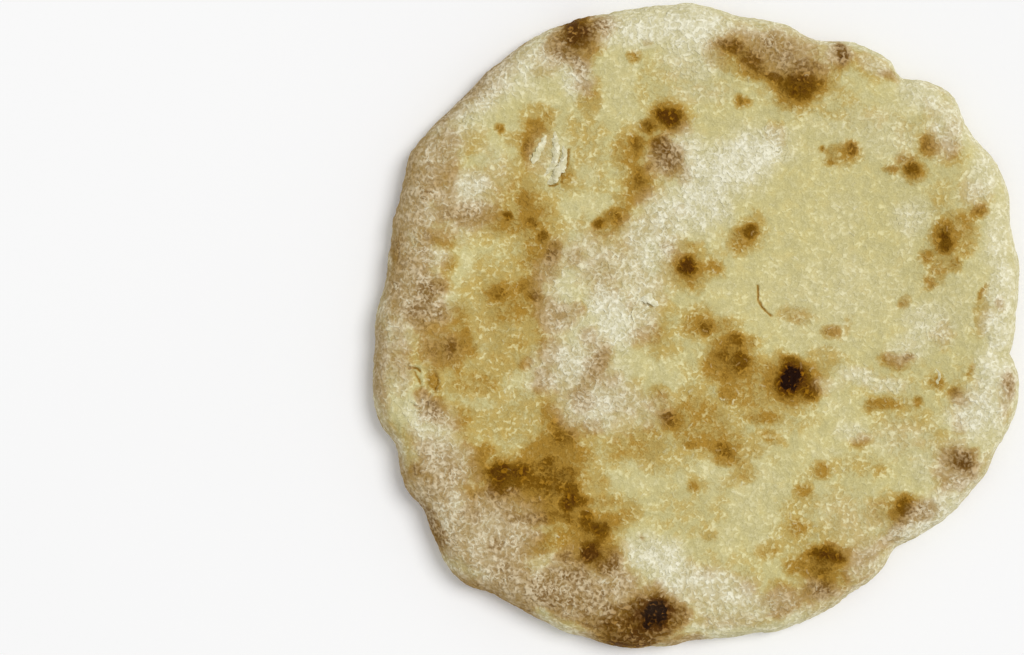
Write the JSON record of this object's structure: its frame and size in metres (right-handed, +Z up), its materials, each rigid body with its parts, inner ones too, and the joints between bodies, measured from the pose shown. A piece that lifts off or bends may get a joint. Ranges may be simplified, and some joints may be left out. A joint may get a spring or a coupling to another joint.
{
  "type": "round focaccia",
  "caption": "Round stone-baked focaccia loaf, flat and flour-dusted, with an uneven rolled rim, char blisters and a flat foot; a single piece of bread to rest on a table, board or plate.",
  "frame": {"origin": "middle of the loaf's outline in plan, on the surface that its flat foot rests on", "axes": "+Z up through the crust, +X to the right and +Y away from the viewer as the picture shows the loaf from above"},
  "size_m": [0.1994, 0.1992, 0.0151],
  "materials": {
    "crust": "matt floury baked crust, pale yellow with golden toasted patches, dark char blisters and white flour"
  },
  "bodies": {
    "root": {"focaccia": "crust"}
  },
  "joints": []
}
